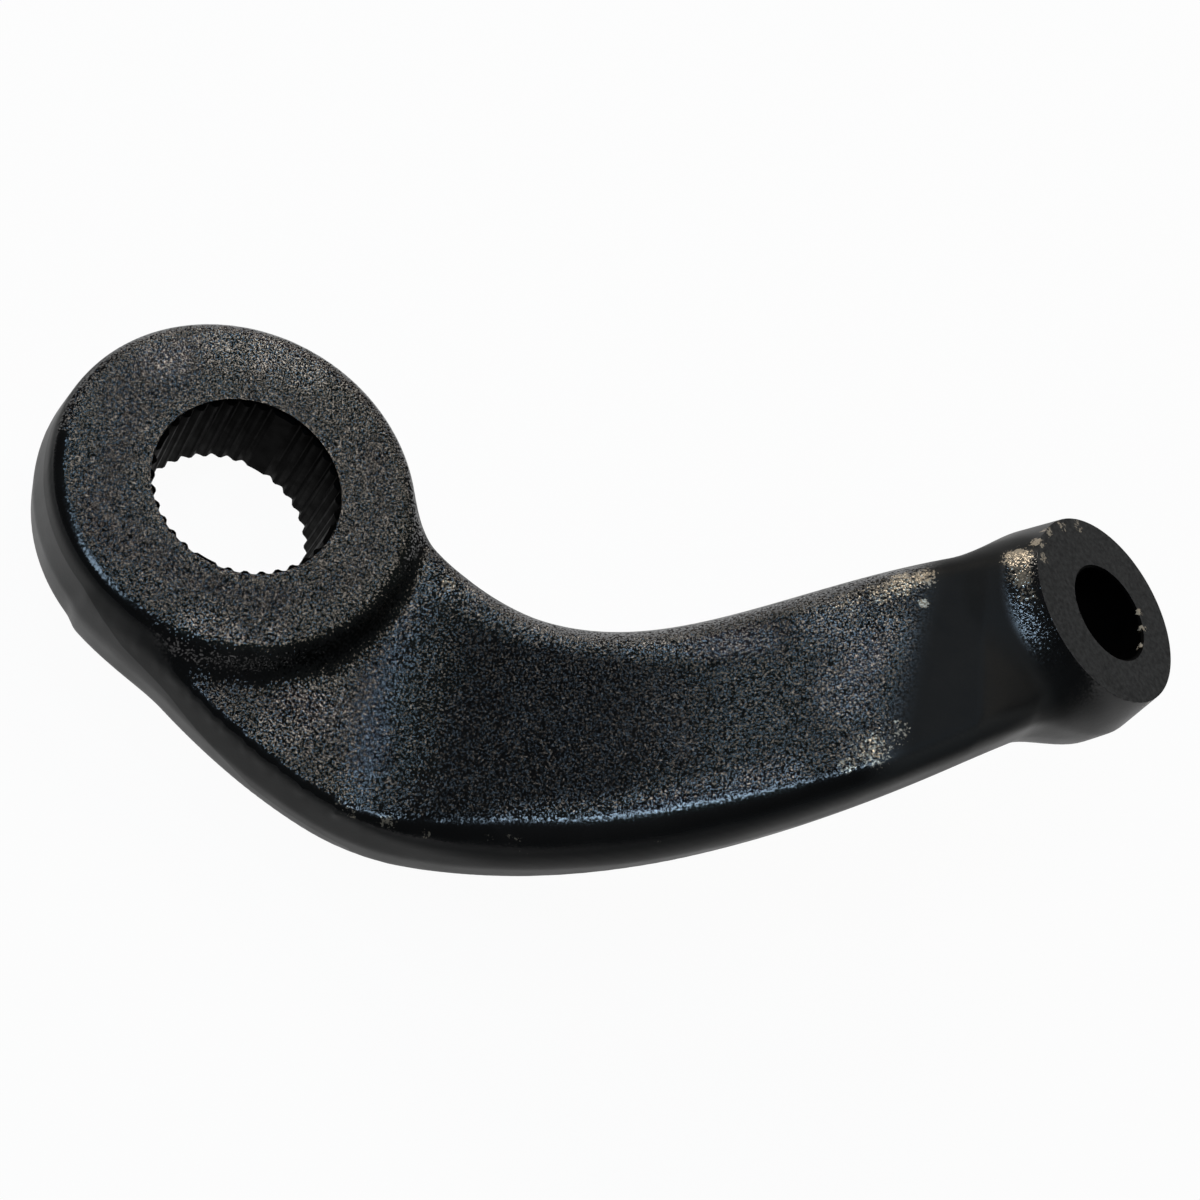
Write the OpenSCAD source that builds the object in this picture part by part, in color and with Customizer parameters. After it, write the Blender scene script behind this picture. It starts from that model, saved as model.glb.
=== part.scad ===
// Pitman arm: one steel forging with a splined hub eye, a curved and ramped arm
// and a leaning stud eye. Millimetres, origin on the sector bore axis midway
// between the hub faces, +Z along the bore, +X from the hub towards the stud eye.

/* [Hub] */
// hub thickness between its two faces
hub_t = 20; // [16:0.5:28]
// hub radius at the parting line
hub_r = 32; // [28:0.1:40]
// offset of the forged hub from the bore axis
hub_off = [-1.1, 0];
// rounding of the hub's rims
hub_rim = 2.25; // [1:0.25:5]

/* [Sector bore] */
// radius across the tooth tips, straight through the hub
bore_tip_r = 15.2; // [10:0.05:20]
// groove depth at the upper face, where the sector shaft enters
groove_deep = 0.75; // [0.5:0.05:1.6]
// growth of the groove diameter per unit length
groove_taper = 0.01; // [0:0.0005:0.0625]
// groove mouth as a part of the pitch
groove_mouth = 0.8; // [0.3:0.02:0.86]
// width of the flat at the bottom of a groove
groove_flat = 0.24; // [0.1:0.02:0.6]
// pitch positions round the bore
spline_pitches = 36; // [24:4:48]
// blank positions that key the shaft
spline_blanks = 4; // [0:1:4]
// turn of the first blank from +X
blank_turn = 75; // [0:5:90]
// radius of the plain lead-in at the upper face
lead_r = 16; // [12:0.1:22]
// depth of the plain lead-in
lead_d = 0.5; // [0.25:0.25:4]
// broken edge at the bore's lower end
lower_break = 0.3; // [0.1:0.1:1.5]

/* [Arm] */
// arm thickness square to its faces
arm_t = 15.2; // [10:0.2:22]
// step from the hub face down to the arm's face
arm_step = 4.2; // [2:0.1:8]
// distance from the bore axis to the bend line
bend_x = 31; // [20:0.5:50]
// half length of the rounded bend
bend_soft = 8; // [2:0.5:14]
// rise of the neck before the stud eye in degrees
neck_angle = -12; // [-20:0.5:35]
// length of the neck, from its bend line to the stud eye's centre
neck_len = 19; // [14:0.2:50]
// depth of the arm's middle under the stud eye's face
neck_drop = 10.5; // [6:0.1:16]
// half length of the rounded neck bend
neck_soft = 5; // [2:0.5:14]
// rounding of the arm's long edges on the ramp
arm_edge = 4.5; // [1:0.25:6]
// rounding of those edges beside the hub
shelf_edge = 1.5; // [0.5:0.25:6]
// draft of the forged walls in degrees
draft = 7; // [1:0.5:10]
// near edge at the hub in plan: start and pull
near_from = [[-5.4, -34.7], [44.6, -71]];
// near edge at the stud eye: pull and end, from the eye's centre
near_to = [[-49.4, -53.5], [3.3, -12.3]];
// far edge at the hub in plan: start and pull
far_from = [[35, 0.7], [67, -31.3]];
// far edge at the stud eye: pull and end, from the eye's centre
far_to = [[-50.9, 6.6], [-8, 8.9]];
// straight run of the near edge back into the hub
near_tail = 17; // [5:1:25]
// straight run of the far edge back into the hub
far_tail = 12; // [5:1:25]
// fillet reach and height where the arm meets the hub wall
hub_fillet = [8, 3];
// fillet reach and height where the arm meets the stud eye
eye_fillet = [6, 2.5];

/* [Stud eye] */
// stud eye face centre in plan
eye_at = [138.8, 0];
// height of the stud eye face over the hub's upper face
eye_rise = 42.6; // [0:0.5:70]
// lean of the stud axis in degrees
eye_lean = 17.5; // [0:0.1:30]
// heading of that lean in plan, from +X
eye_heading = 24; // [-90:0.5:90]
// thickness of the stud eye
eye_t = 17; // [12:0.2:30]
// radius of the machined face
eye_face_r = 17.1; // [12:0.1:24]
// radius of the stud eye at its parting line
eye_part_r = 19; // [12:0.1:26]
// depth of that parting line under the machined face
eye_part_d = 9.2; // [6:0.1:20]
// offset of the forged stud eye from the stud axis
eye_off = [-0.5, 1];

/* [Stud hole] */
// hole radius at the machined face
stud_r = 8.5; // [5:0.05:12]
// taper of the stud seat on diameter
stud_taper = 0.125; // [0.05:0.005:0.2]
// depth of the tapered seat, the rest stays as drilled
stud_seat_d = 13; // [6:0.5:18]
// radius of the spot face for the stud nut, under the eye
spot_r = 14.5; // [10:0.1:18]

/* [Mesh] */
// stations along the arm
stations = 72; // [24:4:120]
// stations of the tail inside the hub
tail_stations = 10; // [4:1:20]
// points across each face of the arm
across = 10; // [4:1:20]
// points on each rounded edge
edge_points = 5; // [3:1:8]

/* [Hidden] */
$fn = 96;
hub_top = hub_t / 2;
arm_mid = hub_top - arm_step - arm_t / 2;
near_edge = concat(near_from, [eye_at + near_to[0], eye_at + near_to[1]]);
far_edge = concat(far_from, [eye_at + far_to[0], eye_at + far_to[1]]);
neck_x = eye_at[0] - neck_len;
neck = tan(neck_angle);
ramp = (hub_top + eye_rise - neck_drop - arm_mid - neck * neck_len) / (neck_x - bend_x);
stud_land_r = stud_r - stud_seat_d * stud_taper / 2;
groove_tilt = atan(groove_taper / 2);
groove_w = groove_mouth * 2 * PI * bore_tip_r / spline_pitches;
blank_every = spline_blanks > 0 ? spline_pitches / spline_blanks : spline_pitches + 1;

function bezier(p, t) =
    pow(1 - t, 3) * p[0] + 3 * t * pow(1 - t, 2) * p[1]
    + 3 * t * t * (1 - t) * p[2] + pow(t, 3) * p[3];

// an edge curve with a straight tail before t = 0
function edge_at(p, tail, t) =
    t >= 0 ? bezier(p, t) : p[0] + t * tail * (p[1] - p[0]) / norm(p[1] - p[0]);

// distance past a bend line, with the bend rounded over soft on both sides
function past(x, line, soft) =
    x < line - soft ? 0
    : x > line + soft ? x - line
    : pow(x - line + soft, 2) / (4 * soft);

function part_past(x, line, soft) = max(0, min(1, (x - line + soft) / (2 * soft)));

// height and slope of the arm's middle surface over its hub end
function ramp_z(x) =
    ramp * past(x, bend_x, bend_soft) + (neck - ramp) * past(x, neck_x, neck_soft);
function ramp_slope(x) =
    ramp * part_past(x, bend_x, bend_soft) + (neck - ramp) * part_past(x, neck_x, neck_soft);

// the stud axis in plan, at height z
function eye_axis_at(z) =
    eye_at - (hub_top + eye_rise - z) * tan(eye_lean) * [cos(eye_heading), sin(eye_heading)];

// soft fillet: full height at the wall, gone at its reach and inside the wall
function fillet(d, wall_r, size) =
    d < wall_r - 3 ? 0 : size[1] * pow(max(0, min(1, 1 - (d - wall_r) / size[0])), 2);

// rounding of a long edge at x, crisp beside the hub and full past the bend
function edge_round(x) =
    shelf_edge + (arm_edge - shelf_edge) * part_past(x, bend_x + bend_soft, 1.5 * bend_soft);

// points up a rounded edge of radius e: place off the parting line and height
function rounding(h, e) =
    [for (i = [0:edge_points - 1])
        let (a = draft + (90 - draft) * i / (edge_points - 1))
        [e * cos(a) - e / cos(draft) - (h - e) * tan(draft), h - e + e * sin(a)]];

function reversed(v) = [for (i = [len(v) - 1:-1:0]) v[i]];

// one face of a section, near to far: place across it and height
function face_points(w, h, near_e, far_e) =
    let (near = rounding(h, near_e),
         far = rounding(h, far_e),
         from = -w - near[edge_points - 1][0],
         to = w + far[edge_points - 1][0])
    concat(
        [for (q = near) [-w - q[0], q[1]]],
        [for (i = [1:across - 1]) [from + (to - from) * i / across, h]],
        [for (q = reversed(far)) [w + q[0], q[1]]]);

function section(t) =
    let (a = edge_at(near_edge, near_tail, t),
         b = edge_at(far_edge, far_tail, t),
         w = norm(b - a) / 2,
         mid = (a + b) / 2,
         dir = (b - a) / norm(b - a),
         face = face_points(w, arm_t / 2, edge_round(a[0]), edge_round(b[0])),
         up = [for (q = face) lift(mid + q[0] * dir, q[1])],
         down = [for (q = reversed(face)) lift(mid + q[0] * dir, -q[1])])
    concat([lift(a, 0)], up, [lift(b, 0)], down);

// a plan point dz off the arm's middle surface, with fillets on the upper side
function lift(p, dz) =
    let (s = ramp_slope(p[0]),
         z = arm_mid + ramp_z(p[0]) + dz * sqrt(1 + s * s),
         rise = dz > arm_t / 2 - arm_edge
             ? fillet(norm(p - hub_off), hub_r - 1, hub_fillet)
               + fillet(norm(p - eye_axis_at(z)), eye_part_r, eye_fillet)
             : 0)
    [p[0], p[1], z + rise];

module arm() {
    ts = concat(
        [for (i = [-tail_stations:-1]) i / tail_stations],
        [for (i = [0:stations]) pow(i / stations, 1.2)]);
    n = len(ts) - 1;
    rows = [for (t = ts) section(t)];
    m = len(rows[0]);
    last = n * m;
    points = [for (row = rows) each row];
    skin = [for (i = [0:n - 1], j = [0:m - 1])
        let (k = (j + 1) % m, p = i * m + j, q = i * m + k)
        each [[p, q, p + m], [q, q + m, p + m]]];
    start = [for (j = [m - 1:-1:0]) j];
    finish = [for (j = [0:m - 1]) last + j];
    polyhedron(points, concat(skin, [start, finish]));
}

// quarter-round corner of a revolved profile
function corner(r, z, e, from, to) =
    [for (i = [0:6])
        let (a = from + (to - from) * i / 6)
        [r + e * cos(a), z + e * sin(a)]];

module hub() {
    slope = (hub_top - hub_rim) * tan(draft);
    r = hub_r - slope - hub_rim / cos(draft);
    translate(hub_off)
        rotate_extrude()
            polygon(concat(
                [[0, -hub_top]],
                corner(r, hub_rim - hub_top, hub_rim, -90, -draft),
                [[hub_r, 0]],
                corner(r, hub_top - hub_rim, hub_rim, draft, 90),
                [[0, hub_top]]));
}

// puts a child drawn under z = 0 on the stud axis, machined face at z = 0
module on_eye() {
    translate([eye_at[0], eye_at[1], hub_top + eye_rise])
        rotate([0, 0, eye_heading])
            rotate([0, eye_lean, 0])
                children();
}

module stud_eye() {
    lower_rim = 2.5;
    r = eye_part_r - (eye_t - eye_part_d - lower_rim) * tan(draft) - lower_rim / cos(draft);
    translate(eye_off)
        rotate_extrude()
            polygon(concat(
                [[0, -eye_t]],
                corner(r, lower_rim - eye_t, lower_rim, -90, -draft),
                [[eye_part_r, -eye_part_d]],
                corner(eye_face_r - 0.8, -0.8, 0.8, draft, 90),
                [[0, 0]]));
}

module groove() {
    // a V cut, full depth at the upper face, closing in towards the lower one
    inset = 1;
    flank = (groove_w - groove_flat) / 2 / groove_deep;
    inner = groove_w / 2 + inset * flank;
    translate([bore_tip_r, 0, hub_top])
        rotate([0, groove_tilt, 0])
            translate([0, 0, -hub_t - 2])
                linear_extrude(hub_t + 4)
                    polygon([
                        [-inset, -inner],
                        [groove_deep, -groove_flat / 2],
                        [groove_deep, groove_flat / 2],
                        [-inset, inner]]);
}

module sector_bore() {
    cylinder(r = bore_tip_r, h = hub_t + 2, center = true);
    translate([0, 0, hub_top - lead_d])
        cylinder(r = lead_r, h = lead_d + 1);
    translate([0, 0, -hub_top - 0.01])
        cylinder(r1 = bore_tip_r + lower_break, r2 = bore_tip_r, h = lower_break + 0.01);
    for (i = [0:spline_pitches - 1])
        if (i % blank_every != 0)
            rotate([0, 0, blank_turn + i * 360 / spline_pitches])
                groove();
}

module stud_hole() {
    translate([0, 0, -stud_seat_d])
        cylinder(r1 = stud_land_r, r2 = stud_r + stud_taper / 2, h = stud_seat_d + 1);
    translate([0, 0, -eye_t - 1])
        cylinder(r = stud_land_r, h = eye_t - stud_seat_d + 1.01);
    translate([0, 0, -eye_t - 20])
        cylinder(r = spot_r, h = 20);
}

module pitman_arm() {
    color([0.07, 0.07, 0.075])
        difference() {
            union() {
                hub();
                arm();
                on_eye() stud_eye();
            }
            sector_bore();
            on_eye() stud_hole();
        }
}

pitman_arm();
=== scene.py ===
import math
import bpy
import bmesh
import numpy as np
import openvdb
from mathutils import Matrix, Vector


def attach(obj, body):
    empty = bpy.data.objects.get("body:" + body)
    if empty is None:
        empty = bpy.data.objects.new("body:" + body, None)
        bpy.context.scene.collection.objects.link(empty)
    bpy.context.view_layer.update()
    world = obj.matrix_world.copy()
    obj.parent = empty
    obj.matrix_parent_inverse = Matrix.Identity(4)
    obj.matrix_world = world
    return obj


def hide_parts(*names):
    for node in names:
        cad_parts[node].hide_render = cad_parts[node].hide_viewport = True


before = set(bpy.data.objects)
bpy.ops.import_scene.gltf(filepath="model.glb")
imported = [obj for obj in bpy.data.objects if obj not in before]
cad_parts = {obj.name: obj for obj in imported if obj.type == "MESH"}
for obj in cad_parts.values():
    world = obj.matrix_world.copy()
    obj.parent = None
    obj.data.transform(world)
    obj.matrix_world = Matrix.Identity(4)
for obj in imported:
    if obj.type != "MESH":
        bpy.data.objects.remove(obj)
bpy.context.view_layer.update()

PER_METRE = 1000

# Sizes of the forging in millimetres, as in the part's source
HUB_TOP, HUB_R, HUB_RIM, HUB_OFF = 10.0, 32.0, 2.25, (-1.1, 0.0)
TIP_R, GROOVE, GROOVE_TAPER, MOUTH = 15.2, 0.75, 0.01, 0.80
PITCHES, BLANK_EVERY, BLANK_TURN = 36, 9, math.radians(75)
LEAD_R, LEAD_D, LOWER_BREAK = 16.0, 0.5, 0.3
ARM_T, ARM_STEP, DRAFT = 15.2, 4.2, math.radians(7)
ARM_EDGE, SHELF_EDGE = 4.5, 1.5
ARM_MID = HUB_TOP - ARM_STEP - ARM_T / 2
EYE_XY, EYE_RISE = np.array([138.8, 0.0]), 42.6
EYE = np.array([EYE_XY[0], EYE_XY[1], HUB_TOP + EYE_RISE])
EYE_LEAN, EYE_HEADING = math.radians(17.5), math.radians(24)
EYE_ROT = np.array(Matrix.Rotation(EYE_HEADING, 3, 'Z') @ Matrix.Rotation(EYE_LEAN, 3, 'Y'))
EYE_T, EYE_PART_D = 17.0, 9.2
BEND_X, BEND_SOFT = 31.0, 8.0
NECK, NECK_LEN, NECK_DROP, NECK_SOFT = math.tan(math.radians(-12)), 19.0, 10.5, 5.0
NECK_X = EYE_XY[0] - NECK_LEN
RAMP = (HUB_TOP + EYE_RISE - NECK_DROP - ARM_MID - NECK * NECK_LEN) / (NECK_X - BEND_X)
NEAR = np.array([[-5.4, -34.7], [44.6, -71.0], EYE_XY + [-49.4, -53.5], EYE_XY + [3.3, -12.3]])
FAR = np.array([[35.0, 0.7], [67.0, -31.3], EYE_XY + [-50.9, 6.6], EYE_XY + [-8.0, 8.9]])
NEAR_TAIL, FAR_TAIL = 17.0, 12.0
STUD_R, STUD_TAPER, STUD_SEAT_D, SPOT_R = 8.5, 0.125, 13.0, 14.5
STUD_LAND_R = STUD_R - STUD_SEAT_D * STUD_TAPER / 2

# Sizes that differ a little from the source's, or that only this skin has
EYE_OFF, EYE_FACE_R, EYE_PART_R = (-0.8, 0.6), 16.9, 18.9
HUB_FILLET, EYE_FILLET = 4.0, 6.0
NEAR_EDGE, NECK_EDGE, NECK_EDGE_X, NECK_EDGE_SOFT = 6.6, 4.0, 92.0, 14.0
LOWER_RIM, LOWER_EDGE = 3.5, 3.0
NECK_LOWER_EDGE, NECK_LOWER_X, NECK_LOWER_SOFT = 5.0, 90.0, 12.0
BARREL_RIM, BARREL_OVER = 2.5, 3.0
HUB_FACE_END = 24.0
# Ragged near edge of the shelf: height, waves as rate, phase and share, and where it fades out
TRIM = 0.13
TRIM_WAVES = ((1.9, 0.0, 1.0), (3.1, 1.2, 1.0), (0.8, 2.0, 0.6))
TRIM_END_X, TRIM_FADE, TRIM_RISE, TRIM_RISE_FADE, TRIM_NEAR_Y = 38.0, 12.0, 4.4, 2.0, -25.0
# Grid that the skin is drawn from
GRID_STEP, GRID_MARGIN, GRID_BAND, GRID_SLAB = 0.62, 3.0, 3.0, 20
GRID_LO, GRID_HI = np.array([-33.5, -54.0, -10.5]), np.array([155.0, 33.0, 58.0])
SMOOTH_PASSES, SMOOTH_FACTOR = 2, 0.3
EDGE_POINTS, STUD_SEGMENTS = 90, 180
SHARP_ANGLE = math.radians(32)


# Signed distance helpers: negative inside, r is the radius of the round
def round_both(a, b, r):
    return np.minimum(np.maximum(a, b), -r) + np.hypot(np.maximum(a + r, 0), np.maximum(b + r, 0))


def round_either(a, b, r):
    return np.maximum(np.minimum(a, b), r) - np.hypot(np.maximum(r - a, 0), np.maximum(r - b, 0))


def past(x, line, soft):
    """Distance past a line, eased in over a soft width."""
    mid = (x - line + soft) ** 2 / (4 * soft)
    return np.where(x < line - soft, 0, np.where(x > line + soft, x - line, mid))


def part_past(x, line, soft):
    """Share from 0 to 1 of the way across a soft width."""
    return np.clip((x - line + soft) / (2 * soft), 0, 1)


def smooth_step(a, b, v):
    t = np.clip((v - a) / (b - a), 0, 1)
    return t * t * (3 - 2 * t)


def arm_middle(x):
    return ARM_MID + RAMP * past(x, BEND_X, BEND_SOFT) + (NECK - RAMP) * past(x, NECK_X, NECK_SOFT)


def arm_slope(x):
    return RAMP * part_past(x, BEND_X, BEND_SOFT) + (NECK - RAMP) * part_past(x, NECK_X, NECK_SOFT)


def edge_curve(p, tail):
    """Plan curve through a Bezier's points, with a straight tail at its start."""
    t = np.linspace(0, 1, EDGE_POINTS)[:, None]
    curve = (1 - t) ** 3 * p[0] + 3 * t * (1 - t) ** 2 * p[1] + 3 * t * t * (1 - t) * p[2] + t ** 3 * p[3]
    back = p[0] - tail * (p[1] - p[0]) / np.linalg.norm(p[1] - p[0])
    return np.vstack([back, curve])


NEAR_CURVE, FAR_CURVE = edge_curve(NEAR, NEAR_TAIL), edge_curve(FAR, FAR_TAIL)


def plan_distance(x, y):
    """Signed distance in plan to the arm's outline."""
    loop = np.vstack([NEAR_CURVE, FAR_CURVE[::-1]])
    best = np.full(x.shape, 1e9)
    inside = np.zeros(x.shape, bool)
    for (ax, ay), (bx, by) in zip(loop, np.roll(loop, -1, axis=0)):
        ex, ey = bx - ax, by - ay
        t = np.clip(((x - ax) * ex + (y - ay) * ey) / (ex * ex + ey * ey), 0, 1)
        best = np.minimum(best, np.hypot(x - ax - t * ex, y - ay - t * ey))
        if ey:
            crosses = (ay > y) != (by > y)
            inside ^= crosses & (x < ax + (y - ay) * ex / ey)
    return np.where(inside, -best, best)


def middle_line(x):
    """Plan line halfway between the near and far edges."""
    near = np.interp(x, NEAR_CURVE[:, 0], NEAR_CURVE[:, 1])
    far = np.interp(x, FAR_CURVE[:, 0], FAR_CURVE[:, 1])
    return (near + far) / 2


def to_eye(x, y, z):
    """Places in the stud eye's own axes, from the middle of its barrel's top."""
    p = np.stack([x - EYE[0], y - EYE[1], z - EYE[2]], -1) @ EYE_ROT
    return p[..., 0] - EYE_OFF[0], p[..., 1] - EYE_OFF[1], p[..., 2]


def hub_form(x, y, z):
    out = np.hypot(x - HUB_OFF[0], y - HUB_OFF[1]) + np.abs(z) * math.tan(DRAFT) - HUB_R
    return round_both(out * math.cos(DRAFT), np.abs(z) - HUB_TOP, np.where(z > 0, HUB_RIM, LOWER_RIM))


def arm_form(x, y, z, plan):
    s = arm_slope(x)
    rise = (z - arm_middle(x)) / np.sqrt(1 + s * s)
    near = NEAR_EDGE + (NECK_EDGE - NEAR_EDGE) * part_past(x, NECK_EDGE_X, NECK_EDGE_SOFT)
    edge = np.where(y < middle_line(x), near, ARM_EDGE)
    edge = SHELF_EDGE + (edge - SHELF_EDGE) * part_past(x, BEND_X + BEND_SOFT, 1.5 * BEND_SOFT)
    lower = LOWER_EDGE + (NECK_LOWER_EDGE - LOWER_EDGE) * part_past(x, NECK_LOWER_X, NECK_LOWER_SOFT)
    trim = TRIM * sum(share * np.sin(rate * x + phase) for rate, phase, share in TRIM_WAVES)
    trim = trim * np.clip((TRIM_END_X - x) / TRIM_FADE, 0, 1) * (y < TRIM_NEAR_Y)
    trim = trim * np.clip((rise - TRIM_RISE) / TRIM_RISE_FADE, 0, 1)
    out = (plan + trim + np.abs(rise) * math.tan(DRAFT)) * math.cos(DRAFT)
    return round_both(out, np.abs(rise) - ARM_T / 2, np.where(rise > 0, edge, lower))


def eye_form(x, y, z):
    ex, ey, ez = to_eye(x, y, z)
    r = np.hypot(ex, ey)
    cone = (EYE_PART_R - EYE_FACE_R) / EYE_PART_D
    upper = (r - EYE_PART_R + (ez + EYE_PART_D) * cone) / math.sqrt(1 + cone * cone)
    under = (r - EYE_PART_R - (ez + EYE_PART_D) * math.tan(DRAFT)) * math.cos(DRAFT)
    return round_both(np.maximum(upper, under), np.maximum(-ez - EYE_T, ez - BARREL_OVER), BARREL_RIM)


def forging(x, y, z, plan):
    """Signed distance to the forging before its holes and faces are cut."""
    body = round_either(hub_form(x, y, z), arm_form(x, y, z, plan), HUB_FILLET)
    body = np.maximum(body, -HUB_TOP - z)
    body = np.where(x < HUB_FACE_END, np.maximum(body, z - HUB_TOP), body)
    return round_either(body, eye_form(x, y, z), EYE_FILLET)


def mesh_object(name, points, faces):
    mesh = bpy.data.meshes.new(name)
    mesh.from_pydata([tuple(p) for p in points], [], [tuple(int(i) for i in f) for f in faces])
    mesh.validate()
    obj = bpy.data.objects.new(name, mesh)
    bpy.context.scene.collection.objects.link(obj)
    return obj


def forged_skin():
    """Mesh of the forging, drawn from a grid of distances and smoothed a little."""
    lo, hi = GRID_LO - GRID_MARGIN, GRID_HI + GRID_MARGIN
    n = np.ceil((hi - lo) / GRID_STEP).astype(int)
    gx, gy, gz = (lo[i] + GRID_STEP * np.arange(n[i]) for i in range(3))
    plan = plan_distance(*np.meshgrid(gx, gy, indexing='ij'))
    field = np.empty(tuple(n), np.float32)
    for i in range(0, n[0], GRID_SLAB):
        slab = slice(i, i + GRID_SLAB)
        x, y, z = np.meshgrid(gx[slab], gy, gz, indexing='ij')
        field[slab] = forging(x, y, z, plan[slab, :, None])
    grid = openvdb.FloatGrid(GRID_BAND)
    grid.copyFromArray(np.clip(field, -GRID_BAND, GRID_BAND))
    points, _, quads = grid.convertToPolygons(isovalue=0.0, adaptivity=0.0)
    skin = mesh_object("arm_forging", (points * GRID_STEP + lo) / PER_METRE, quads)
    bm = bmesh.new()
    bm.from_mesh(skin.data)
    bmesh.ops.recalc_face_normals(bm, faces=bm.faces)
    for _ in range(SMOOTH_PASSES):
        bmesh.ops.smooth_vert(bm, verts=bm.verts, factor=SMOOTH_FACTOR,
                              use_axis_x=True, use_axis_y=True, use_axis_z=True)
    bm.to_mesh(skin.data)
    bm.free()
    return skin


def ring_solid(name, rings):
    """Closed solid through rings of equal point count, lowest first."""
    n = len(rings[0])
    points = [p for ring in rings for p in ring]
    faces = [tuple(range(n - 1, -1, -1)), tuple((len(rings) - 1) * n + i for i in range(n))]
    for k in range(len(rings) - 1):
        for i in range(n):
            j = (i + 1) % n
            faces.append((k * n + i, k * n + j, (k + 1) * n + j, (k + 1) * n + i))
    return mesh_object(name, points, faces)


# A groove's section and the land after it: place as a share of the half mouth, and share of the depth
GROOVE_SECTION = ((-1, 0), (-0.55, 0.5), (-0.12, 1), (0.12, 1), (0.55, 0.5), (1, 0), (1.25, 0))
# How far the cutters run past the faces, and the small breaks at the bore's edges
BORE_PAST, BORE_FLARE, LEAD_SLOPE, LEAD_DRAFT = 2.0, 1.2, 0.3, 0.1


def bore_cutter():
    """Splined bore: V grooves on a 10 degree pitch with four blanks, and a plain lead-in."""
    half_mouth = MOUTH * math.pi / PITCHES
    angles, depth = [], []
    for i in range(PITCHES):
        middle = BLANK_TURN + i * 2 * math.pi / PITCHES
        cut = 0.0 if i % BLANK_EVERY == 0 else 1.0
        for off, share in GROOVE_SECTION:
            angles.append(middle + off * half_mouth)
            depth.append(share * cut)

    def ring(z, r, groove):
        radii = [r + groove * d for d in depth]
        return [(s * math.cos(a) / PER_METRE, s * math.sin(a) / PER_METRE, z / PER_METRE)
                for a, s in zip(angles, radii)]

    def groove_at(z):
        return GROOVE - (HUB_TOP - z) * GROOVE_TAPER / 2

    top = HUB_TOP - LEAD_D
    return ring_solid("bore_cutter", [
        ring(-HUB_TOP - BORE_PAST, TIP_R + LOWER_BREAK, GROOVE),
        ring(-HUB_TOP, TIP_R + LOWER_BREAK, GROOVE - LOWER_BREAK),
        ring(-HUB_TOP + LOWER_BREAK, TIP_R, groove_at(-HUB_TOP)),
        ring(top - LEAD_SLOPE, TIP_R, groove_at(top)),
        ring(top, LEAD_R - LEAD_DRAFT, 0),
        ring(HUB_TOP - LEAD_DRAFT, LEAD_R, 0),
        ring(HUB_TOP + BORE_PAST, LEAD_R + BORE_FLARE, 0)])


# Rings on the machined face carry its worn spots, and one in the seat keeps them at the rim
FACE_RINGS = (10.5, 12.0, 13.3, 14.4, 15.2, 15.9, 16.5, 17.1, 17.7, EYE_FACE_R + 1.6)
SEAT_RING_D, RIM_BREAK, RIM_DROP, LAND_BREAK = 1.2, 0.35, 0.02, 0.4
STUD_LOW, STUD_HIGH = -45.0, 14.0


def stud_cutter():
    """Machined face, tapered seat, straight land and spot face on the stud axis."""
    profile = [(STUD_LOW, SPOT_R), (-EYE_T, SPOT_R), (-EYE_T, STUD_LAND_R + LAND_BREAK),
               (-EYE_T + LAND_BREAK, STUD_LAND_R), (-STUD_SEAT_D, STUD_LAND_R),
               (-SEAT_RING_D, STUD_R - SEAT_RING_D * STUD_TAPER / 2),
               (-RIM_BREAK, STUD_R - RIM_DROP), (0, STUD_R + RIM_BREAK),
               *[(0, r) for r in FACE_RINGS], (STUD_HIGH, FACE_RINGS[-1])]
    rings = []
    for z, r in profile:
        ring = []
        for i in range(STUD_SEGMENTS):
            a = 2 * math.pi * i / STUD_SEGMENTS
            p = EYE + EYE_ROT @ np.array([r * math.cos(a), r * math.sin(a), z])
            ring.append(tuple(p / PER_METRE))
        rings.append(ring)
    return ring_solid("stud_cutter", rings)


def cut(target, tool):
    mod = target.modifiers.new("cut", 'BOOLEAN')
    mod.operation = 'DIFFERENCE'
    mod.solver = 'EXACT'
    mod.object = tool
    dg = bpy.context.evaluated_depsgraph_get()
    mesh = bpy.data.meshes.new_from_object(target.evaluated_get(dg))
    target.modifiers.clear()
    old, target.data = target.data, mesh
    bpy.data.meshes.remove(old)
    bpy.data.objects.remove(tool)


arm = forged_skin()
cut(arm, bore_cutter())
cut(arm, stud_cutter())
mesh = arm.data

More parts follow.
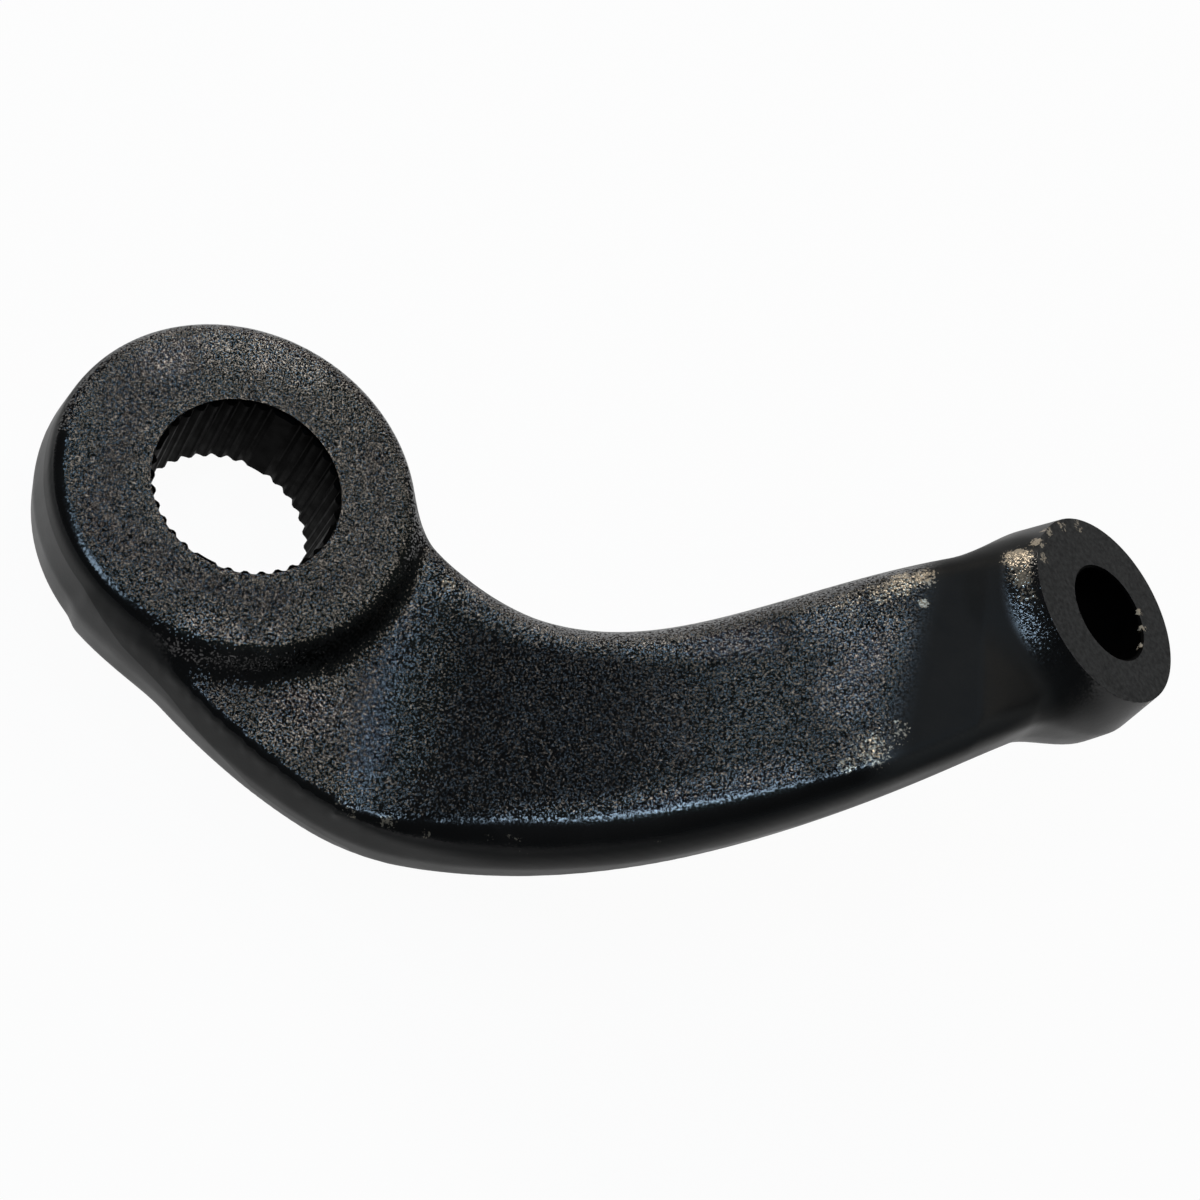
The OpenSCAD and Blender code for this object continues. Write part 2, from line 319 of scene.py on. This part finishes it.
# Worn places in millimetres, and at the far edge of the bend a painted warm glint, each with its centre,
# reach and amount
WORN_AND_GLINT = [
    # End of the ramp, at the far and the near edge
    (95.0, -6.5, 41.5, 4.0, 0.25), (99.5, -4.2, 44.2, 4.0, 0.35), (103.0, -2.2, 45.7, 4.0, 0.50),
    (106.0, -1.0, 47.3, 3.0, 0.50), (106.2, -6.0, 47.5, 1.1, 1.00),
    (99.8, -32.8, 43.9, 4.6, 0.36), (102.5, -29.5, 45.7, 4.0, 0.24), (96.5, -35.8, 42.3, 2.4, 0.34),
    # Along the near edge
    (25.8, -48.6, 5.0, 1.5, 0.35), (28.0, -49.4, 5.3, 1.5, 0.35), (33.4, -50.4, 7.3, 1.8, 0.35),
    (39.2, -52.0, 9.9, 1.2, 0.30), (48.1, -51.9, 15.3, 1.5, 0.38), (51.5, -52.0, 17.0, 1.8, 0.35),
    (53.8, -51.8, 18.4, 1.2, 0.38), (57.6, -51.8, 20.2, 1.0, 0.35), (53.8, -53.6, 16.0, 1.1, 0.35),
    (72.6, -50.5, 26.2, 1.2, 0.35), (76.6, -47.3, 30.9, 1.0, 0.35), (79.4, -47.3, 31.8, 1.1, 0.35),
    # Far edge at the bend, rubbed through, where the flecks also paint a warm glint
    (36.6, -6.8, 9.9, 2.0, 0.40),
    # Collar of the stud eye and the rim of its face
    (119.5, 2.9, 54.7, 3.5, 0.70), (120.2, -0.8, 55.0, 3.0, 0.55), (121.0, -4.0, 55.5, 3.0, 0.28),
    (122.9, 3.5, 56.7, 1.4, 0.50), (122.3, 6.5, 55.8, 1.8, 0.55), (124.7, 9.7, 55.3, 1.5, 0.45),
    (128.0, 13.1, 54.1, 1.6, 0.45), (132.5, 14.8, 52.5, 1.6, 0.35), (146.8, -13.8, 51.0, 1.4, 0.35),
    # Rim of the stud hole
    (146.6, 3.7, 49.9, 0.9, 0.70), (146.9, 0.7, 50.0, 0.8, 0.60), (146.3, -3.0, 50.2, 1.0, 0.80)]
# Places rubbed to a brighter shine, in the same terms
RUBBED = [
    # Hub face at its far and near rim, and the shelf
    (-18, 20, 10, 8, 0.8), (-10, 25.5, 10, 7, 1.0), (-2, 26.5, 10, 7, 1.0), (5, 25.5, 10, 7, 0.7),
    (-3, -27, 10, 4.5, 0.8), (3, -28, 10, 4.5, 1.0), (9, -27, 10, 5, 0.8),
    (14, -39, 5.8, 6, 0.8), (18, -34, 5.8, 9, 0.8),
    # End of the ramp, and the collar
    (93, -10, 40, 8, 1.0), (98, -15, 43, 8, 1.0), (96, -23, 42, 8, 0.9), (102, -12, 45, 6, 0.9),
    (120.5, 1.5, 55, 5.5, 1.0), (121, -4, 55, 5.5, 1.0), (122, -9.5, 54.5, 5, 0.8)]
# Rows of rubbed places along the near and far edges
NEAR_ROW = [(51, -49.5, 17.5, 5, 0.6), (61, -48, 23, 5, 0.8), (71, -45, 28, 5, 1.0),
            (80, -41.5, 33.6, 5, 1.0), (88, -38, 38, 5, 1.0)]
FAR_ROW = [(36.9, -8.1, 9.9, 4, 1.0), (40, -9.9, 11.7, 4, 0.9), (45.7, -12.9, 14.7, 4, 0.9),
           (51, -14.8, 17.6, 4, 0.9), (58.6, -16.1, 21.7, 4, 0.9), (65.9, -16.2, 25.7, 4, 1.0),
           (74.6, -16, 30.4, 4, 1.0), (83, -14.4, 35, 4, 1.0)]
ROW_STEPS = 5
WORN_CORE, RUBBED_CORE = 0.4, 0.2

# Fades of the masks as start and end. Facing is 1 on the arm's broad sides and 0 on its walls
BLASTED_FACING, SMOOTHED_FACING, SMOOTHED_LEAST = (0.45, 0.80), (0.97, 0.9985), 0.12
GRAIN_END, GRAIN_END_TURN = (110, 103), 0.13
HOLE_WEAR, HOLE_SLACK = (-1.0, -0.4), 0.1
STREAK_X, STREAK_TURN, STREAK_WIDTH, STREAK_FACING = 34.0, 0.14, (4.5, 1.0), (0.90, 0.97)
STREAK_Z, STREAK_Y, STREAK_CALM, STREAK_RUB = 4.0, -3.0, 0.4, 0.35
FOOT_START, FOOT_END, FOOT_FACING, FOOT_DULL = (35, 42), (86, 62), (0.97, 0.99), 0.6
COLLAR_OUT, COLLAR_BACK, COLLAR_FAR = (2.0, 0.4), (-6, -11), (6, 2.5)
COLLAR_NEAR, COLLAR_DEPTH, COLLAR_GRAIN = (-22, -9), (-10, -8), 0.5
STEP_PLAN, STEP_IN, STEP_OUT, STEP_Z, STEP_GRAIN = (-0.5, -3.5), (-3.5, -2), (7, 4), (3.0, 5.0), 0.9
WALL_FACING, SHEEN_START, SHEEN = (0.6, 0.3), (72, 108), 0.75
# Where the near rounded edge towards the eye is painted paler, as a painted sheen
EDGE_FACING, EDGE_START, EDGE_OUT = (0.99, 0.88), (66, 100), (1.0, 4.0)
# Height of the line where the wall turns under, which climbs on the hub, and its fall past the bend
PARTING_X = (-20, -13, -5, 8, 13, 20, BEND_X - BEND_SOFT)
PARTING_Z = (5.6, 2.1, 0.2, -2.7, -4.7, -4.7, -4.5)
PARTING_FALL = 3
# Part of the hub whose faces lie level
LEVEL_OUT, LEVEL_DOWN = 0.5, 2.5


def places(co, spots, core):
    """Mask that is full near each spot and fades out at its reach."""
    mask = np.zeros(len(co))
    for px, py, pz, reach, amount in spots:
        d = np.linalg.norm(co - np.array([px, py, pz]), axis=1)
        mask = np.maximum(mask, amount * smooth_step(reach, reach * core, d))
    return mask


def filled(row):
    """The spots of a row with others evenly between them."""
    at = np.linspace(0, len(row) - 1, ROW_STEPS * (len(row) - 1) + 1)
    return np.stack([np.interp(at, np.arange(len(row)), column) for column in np.array(row).T], 1)


def point_vectors(kind):
    values = np.empty(len(mesh.vertices) * 3, np.float32)
    mesh.vertices.foreach_get(kind, values)
    return values.reshape(-1, 3)


def skin_masks():
    """Values at the mesh's points that the paint is mixed by."""
    co, normal = point_vectors("co") * PER_METRE, point_vectors("normal")
    x, y, z = co.T
    faces_near = normal[:, 1] < 0
    hub_out = np.hypot(x - HUB_OFF[0], y - HUB_OFF[1]) - HUB_R
    level = (hub_out < LEVEL_OUT) & (np.abs(z) > HUB_TOP - LEVEL_DOWN)
    slope = np.where(level, 0, arm_slope(x))
    facing = np.abs(normal[:, 2] - slope * normal[:, 0]) / np.sqrt(1 + slope ** 2)
    ex, ey, ez = to_eye(x, y, z)
    eye_out = np.hypot(ex, ey) - EYE_PART_R

    # Shot-blasted grain on the broad faces, weaker on the near side's rounded edges
    blasted = smooth_step(*BLASTED_FACING, facing) * smooth_step(*GRAIN_END, x - GRAIN_END_TURN * y)
    smoothed = SMOOTHED_LEAST + (1 - SMOOTHED_LEAST) * smooth_step(*SMOOTHED_FACING, facing)
    grain = blasted * np.where(faces_near, smoothed, 1)
    wear_and_glint = places(co, WORN_AND_GLINT, WORN_CORE)
    in_hole = np.hypot(ex + EYE_OFF[0], ey + EYE_OFF[1]) < STUD_R + HOLE_SLACK
    wear_and_glint = wear_and_glint * np.where(in_hole, smooth_step(*HOLE_WEAR, ez), 1)
    rub = places(co, [*RUBBED, *filled(NEAR_ROW), *filled(FAR_ROW)], RUBBED_CORE)

    # A streak along the bend shines more, the foot of the ramp less
    streak = smooth_step(*STREAK_WIDTH, np.abs(x - STREAK_X - STREAK_TURN * y))
    streak = streak * smooth_step(*STREAK_FACING, facing) * (z > STREAK_Z) * (y < STREAK_Y)
    grain = grain * (1 - STREAK_CALM * streak)
    rub = np.maximum(rub, STREAK_RUB * streak)
    foot = smooth_step(*FOOT_START, x) * smooth_step(*FOOT_END, x) * smooth_step(*FOOT_FACING, facing)
    rub = rub - FOOT_DULL * (1 - rub) * foot

    # The eye's collar and the step down from the hub face are blasted too
    collar = smooth_step(*COLLAR_OUT, eye_out) * smooth_step(*COLLAR_BACK, ex)
    collar = collar * smooth_step(*COLLAR_FAR, y) * smooth_step(*COLLAR_NEAR, y)
    collar = collar * smooth_step(*COLLAR_DEPTH, ez)
    step = smooth_step(*STEP_PLAN, plan_distance(x, y)) * smooth_step(*STEP_IN, hub_out)
    step = step * smooth_step(*STEP_OUT, hub_out) * smooth_step(*STEP_Z, z)
    blasted = np.maximum(blasted, np.maximum(step, collar))
    grain = np.maximum(grain, np.maximum(STEP_GRAIN * step, COLLAR_GRAIN * collar))

    # Walls are dustier than the faces, with a sheen towards the eye; there the near rounded edge gets a
    # paler colour, a painted sheen
    wall = smooth_step(*WALL_FACING, facing)
    sheen = SHEEN * wall * smooth_step(*SHEEN_START, x)
    edge = smooth_step(*EDGE_FACING, facing) * smooth_step(*EDGE_START, x)
    edge = edge * smooth_step(*EDGE_OUT, eye_out) * faces_near
    parting = z - np.interp(x, PARTING_X, PARTING_Z) + PARTING_FALL * np.maximum(x - BEND_X, 0)
    return {"blasted": blasted, "grain": grain, "wear_and_glint": wear_and_glint, "rub": rub,
            "wall": wall, "sheen": sheen, "edge": edge, "parting": parting}


for mask, values in skin_masks().items():
    mesh.attributes.new(mask, 'FLOAT', 'POINT').data.foreach_set("value", values.astype(np.float32))


class Nodes:
    """Short way to build a material's nodes."""

    def __init__(self, name):
        self.mat = bpy.data.materials.new(name)
        self.mat.use_nodes = True
        self.tree = self.mat.node_tree
        self.shader = self.tree.nodes["Principled BSDF"]

    def set(self, socket, value):
        if isinstance(value, bpy.types.NodeSocket):
            self.tree.links.new(value, socket)
        else:
            socket.default_value = value

    def add(self, kind, settings=None, **inputs):
        node = self.tree.nodes.new("ShaderNode" + kind)
        for key, value in (settings or {}).items():
            setattr(node, key, value)
        for key, value in inputs.items():
            self.set(node.inputs[key.replace("_", " ")], value)
        return node

    def paint(self, **inputs):
        for key, value in inputs.items():
            self.set(self.shader.inputs[key.replace("_", " ")], value)

    def where(self):
        return self.add("TexCoord").outputs["Object"]

    def noise(self, scale, detail, rough):
        node = self.add("TexNoise", Vector=self.where(), Scale=scale, Detail=detail, Roughness=rough)
        return node.outputs["Fac"]

    def attribute(self, name):
        return self.add("Attribute", {"attribute_name": name}).outputs["Fac"]

    def math(self, op, a, b):
        node = self.add("Math", {"operation": op})
        self.set(node.inputs[0], a)
        self.set(node.inputs[1], b)
        return node.outputs[0]

    def ramp(self, value, lo, hi, out_lo=0.0, out_hi=1.0):
        node = self.add("MapRange", Value=value, From_Min=lo, From_Max=hi, To_Min=out_lo, To_Max=out_hi)
        return node.outputs[0]

    def blend(self, factor, a, b):
        """A number between two others."""
        node = self.add("Mix")
        self.set(node.inputs["Factor"], factor)
        self.set(node.inputs[2], a)
        self.set(node.inputs[3], b)
        return node.outputs[0]

    def mix(self, factor, a, b):
        """A colour between two others."""
        node = self.add("Mix", {"data_type": 'RGBA'})
        self.set(node.inputs["Factor"], factor)
        self.set(node.inputs[6], a)
        self.set(node.inputs[7], b)
        return node.outputs[2]

    def vector(self, op, a, b=None, scale=None):
        node = self.add("VectorMath", {"operation": op})
        self.set(node.inputs[0], a)
        if b is not None:
            self.set(node.inputs[1], b)
        if scale is not None:
            self.set(node.inputs["Scale"], scale)
        return node.outputs[0]

    def tilted(self, normal, scale, amount):
        """The normal leaned each way by noise."""
        spread = self.add("TexNoise", Vector=self.where(), Scale=scale, Detail=0.0).outputs["Color"]
        lean = self.vector('SUBTRACT', spread, (0.5, 0.5, 0.5))
        lean = self.vector('SCALE', lean, scale=amount)
        return self.vector('NORMALIZE', self.vector('ADD', normal, lean))

    def bump(self, height, strength, distance):
        return self.add("Bump", Height=height, Strength=strength, Distance=distance).outputs["Normal"]


# Colours, darkest first where there are two
BARE_AND_GLINT = (0.40, 0.34, 0.26, 1)
BLACK = (0.0030, 0.0030, 0.0031, 1), (0.0055, 0.0054, 0.0052, 1)
DUSTY = (0.0140, 0.0137, 0.0130, 1), (0.0185, 0.0180, 0.0170, 1)
WALL = (0.0180, 0.0175, 0.0165, 1)
# Paler colour of the near rounded edge towards the eye: a painted sheen
PAINTED_SHEEN_EDGE = (0.0400, 0.0385, 0.0355, 1)
MACHINED_TONES = (0.0075, 0.0079, 0.0080, 1), (0.0450, 0.0447, 0.0435, 1)
# Colours of the bores, far darker than the black paint outside: painted shade in the holes
BORE_SHADE_TONES = (0.0004, 0.0004, 0.0004, 1), (0.0018, 0.0017, 0.0016, 1)
# Shot-blasted grain in waves per metre, and how far it tilts the surface
SPECKS, SPECK_TILT = 2600.0, 1.5
# How strongly each surface reflects
NECK_SHINE, WALL_SHINE, UNDER_SHINE, GRAIN_SHINE, RUBBED_SHINE = 0.07, 0.13, 0.32, 0.50, 1.0
MACHINED_SHINE, BORE_SHINE = 0.3, 0.015
# Half width in millimetres of the line where the wall turns under
PARTING_SOFT = 0.12
BARE_METAL = 0.6


def bare_and_glint_flecks(n):
    """Fine flecks of steel showing through the paint, as dense as their mask asks; at the far edge of the
    bend they paint a warm glint.
    """
    wear_and_glint = n.attribute("wear_and_glint")
    fleck = n.noise(1900, 3.0, 0.65)
    level = n.math('ADD', fleck, n.math('MULTIPLY', wear_and_glint, 0.5))
    return n.math('MULTIPLY', n.ramp(level, 0.66, 0.74), n.ramp(wear_and_glint, 0.0, 0.08))


def skin_paint():
    """Black paint on the forged skin: glinting grain over shot-blasted faces, satin on the walls."""
    n = Nodes("skin_paint")
    blasted, wall = n.attribute("blasted"), n.attribute("wall")
    turned_under = n.ramp(n.attribute("parting"), PARTING_SOFT, -PARTING_SOFT)
    under = n.math('MAXIMUM', turned_under, n.attribute("sheen"))
    normal = n.bump(n.noise(1700, 3.0, 0.6), 0.1, 0.0002)
    normal = n.tilted(normal, SPECKS, n.math('MULTIPLY', n.attribute("grain"), SPECK_TILT))
    broad = n.noise(110, 4.0, 0.55)
    # Flecks of steel showing through the paint, and at the far edge of the bend a painted warm glint
    bare_and_glint = bare_and_glint_flecks(n)
    black = n.mix(n.ramp(broad, 0.35, 0.65), *BLACK)
    dust_and_painted_sheen = n.mix(n.ramp(broad, 0.35, 0.65), *DUSTY)
    dust_and_painted_sheen = n.mix(wall, dust_and_painted_sheen, WALL)
    # The near rounded edge towards the eye is painted paler: a painted sheen
    dust_and_painted_sheen = n.mix(n.attribute("edge"), dust_and_painted_sheen, PAINTED_SHEEN_EDGE)
    dark = n.mix(blasted, dust_and_painted_sheen, black)
    satin = n.ramp(broad, 0.3, 0.7, 0.40, 0.50)
    glossy = n.ramp(broad, 0.3, 0.7, 0.15, 0.19)
    plain = n.ramp(wall, 0.0, 1.0, NECK_SHINE, WALL_SHINE)
    grainy = n.ramp(n.attribute("rub"), -1.0, 1.0, 2 * GRAIN_SHINE - RUBBED_SHINE, RUBBED_SHINE)
    n.paint(Base_Color=n.mix(bare_and_glint, dark, BARE_AND_GLINT), Metallic=n.math('MULTIPLY', bare_and_glint, BARE_METAL),
            Roughness=n.blend(blasted, satin, glossy), Normal=normal,
            Specular_IOR_Level=n.blend(blasted, n.blend(under, plain, UNDER_SHINE), grainy))
    return n.mat


def machined_paint():
    """Thin paint on a turned face."""
    n = Nodes("machined_paint")
    broad = n.noise(140, 4.0, 0.6)
    fine = n.noise(1300, 3.0, 0.6)
    dark = n.mix(n.ramp(fine, 0.32, 0.68), *MACHINED_TONES)
    n.paint(Base_Color=n.mix(bare_and_glint_flecks(n), dark, BARE_AND_GLINT), Roughness=n.ramp(broad, 0.3, 0.7, 0.42, 0.55),
            Specular_IOR_Level=MACHINED_SHINE, Normal=n.bump(fine, 0.12, 0.0001))
    return n.mat


def bore_shade_paint():
    """Near-black paint in the bores, far darker than the paint outside: painted shade in the holes."""
    n = Nodes("bore_shade_paint")
    broad = n.noise(400, 3.0, 0.6)
    dark = n.mix(broad, *BORE_SHADE_TONES)
    n.paint(Base_Color=n.mix(bare_and_glint_flecks(n), dark, BARE_AND_GLINT), Roughness=n.ramp(broad, 0.3, 0.7, 0.42, 0.6),
            Specular_IOR_Level=BORE_SHINE, Normal=n.bump(broad, 0.2, 0.0001))
    return n.mat


SKIN, MACHINED, BORE = range(3)
# Slack in millimetres for telling which face a polygon belongs to
FACE_SLACK, CUT_SLACK, BORE_SLACK, STUD_SLACK, EYE_SLACK = 0.02, 0.01, 0.2, 0.4, 2.0


def face_materials():
    """Material of each polygon, told by where its centre lies."""
    centre = np.empty(len(mesh.polygons) * 3, np.float32)
    mesh.polygons.foreach_get("center", centre)
    centre = centre.reshape(-1, 3).astype(float) * PER_METRE
    x, y, z = centre.T
    along_x, along_y, depth = ((centre - EYE) @ EYE_ROT).T
    r = np.hypot(along_x, along_y)
    in_bore = (np.hypot(x, y) < LEAD_R + BORE_SLACK) & (np.abs(z) < HUB_TOP - CUT_SLACK)
    in_stud = (r < STUD_R + STUD_SLACK) & (depth > -EYE_T) & (depth < -CUT_SLACK)
    on_face = (np.abs(depth) < FACE_SLACK) | (np.abs(depth + EYE_T) < FACE_SLACK)
    machined = on_face & (r < EYE_PART_R + EYE_SLACK)
    return np.where(in_bore | in_stud, BORE, np.where(machined, MACHINED, SKIN)).astype(np.int32)


mesh.materials.clear()
for mat in (skin_paint(), machined_paint(), bore_shade_paint()):
    mesh.materials.append(mat)
mesh.polygons.foreach_set("material_index", face_materials())
mesh.shade_smooth()
mesh.set_sharp_from_angle(angle=SHARP_ANGLE)
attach(arm, "root")
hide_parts("pitman_arm")

# Camera at the photograph's view: rows are the part's axes in camera terms
VIEW = np.array([[0.9133, 0.2729, 0.3022], [0.1068, -0.8768, 0.4689], [0.393, -0.396, -0.8299]])
HUB_IN_VIEW = np.array([-58.0, -18.9, 362.4])
cam_data = bpy.data.cameras.new("camera")
cam_data.sensor_width = 36.0
cam_data.lens = 66.0
cam_data.clip_start = 0.01
camera = bpy.data.objects.new("camera", cam_data)
spot = (VIEW @ -HUB_IN_VIEW + np.array([0, 0, HUB_TOP])) / PER_METRE
turn = Matrix([[VIEW[i, 0], -VIEW[i, 1], -VIEW[i, 2]] for i in range(3)]).to_4x4()
camera.matrix_world = Matrix.Translation(Vector(spot)) @ turn
bpy.context.scene.collection.objects.link(camera)
bpy.context.scene.camera = camera

# Pale floor in metres: white to the eye and in reflections, with a soft shadow
FLOOR_REACH, FLOOR_Z, FLOOR_WHITE = 15, -0.0101, 0.96


def floor_paint():
    n = Nodes("floor")
    n.tree.nodes.remove(n.shader)
    path = n.add("LightPath").outputs
    mirrored = n.math('MAXIMUM', path["Is Glossy Ray"], path["Is Transmission Ray"])
    seen = n.math('MAXIMUM', path["Is Camera Ray"], mirrored)
    matt = n.add("BsdfDiffuse", Color=(0.8, 0.8, 0.8, 1)).outputs[0]
    white = n.add("Emission", Strength=1.0).outputs[0]
    pale = n.add("MixShader", Fac=n.math('MULTIPLY', seen, FLOOR_WHITE))
    n.set(pale.inputs[1], matt)
    n.set(pale.inputs[2], white)
    n.set(n.tree.nodes["Material Output"].inputs["Surface"], pale.outputs[0])
    return n.mat


corners = [(sx * FLOOR_REACH, sy * FLOOR_REACH, FLOOR_Z) for sx, sy in ((-1, -1), (1, -1), (1, 1), (-1, 1))]
floor = mesh_object("floor", corners, [(0, 1, 2, 3)])
floor.data.materials.append(floor_paint())

world = bpy.data.worlds.new("world")
bpy.context.scene.world = world
world.use_nodes = True
world.node_tree.nodes["Background"].inputs["Color"].default_value = (0.92, 0.96, 1.0, 1)
world.node_tree.nodes["Background"].inputs["Strength"].default_value = 0.06

# Rectangular lights: name, direction from the part, direction of the long side, size in metres,
# power in watts and colour
LIGHTS = [
    ("key", (0.12, 0.78, 0.62), (1, 0, 0), (0.40, 0.22), 2.7, (1.0, 0.91, 0.80)),
    ("rear", (-0.42, 0.84, 0.36), (1, 0, 0), (0.30, 0.12), 1.1, (1.0, 0.92, 0.82)),
    ("window", (-0.37, 0.02, 0.93), (0.33, 0.35, 0), (0.60, 0.08), 2.3, (0.56, 0.77, 1.0)),
    ("side", (-0.20, 0.52, 0.83), (1, 0, 0), (0.14, 0.09), 0.8, (0.48, 0.72, 1.0)),
    ("fill", (0.27, 0.35, 0.90), (0, 1, 0), (0.22, 0.14), 0.9, (1.0, 0.89, 0.75))]
LIGHT_DISTANCE, LIGHT_AIM = 1.0, Vector((0.06, -0.01, 0.02))


def area_light(name, direction, along, size, power, colour):
    """Rectangular light that faces the part from a direction."""
    data = bpy.data.lights.new(name, 'AREA')
    data.shape = 'RECTANGLE'
    data.size, data.size_y = size
    data.energy = power
    data.color = colour
    obj = bpy.data.objects.new(name, data)
    back = Vector(direction).normalized()
    side = Vector(along)
    side = (side - side.dot(back) * back).normalized()
    turned = Matrix((side, back.cross(side), back)).transposed().to_4x4()
    obj.matrix_world = Matrix.Translation(LIGHT_AIM + back * LIGHT_DISTANCE) @ turned
    bpy.context.scene.collection.objects.link(obj)


for light in LIGHTS:
    area_light(*light)
bpy.context.scene.view_settings.view_transform = 'Standard'
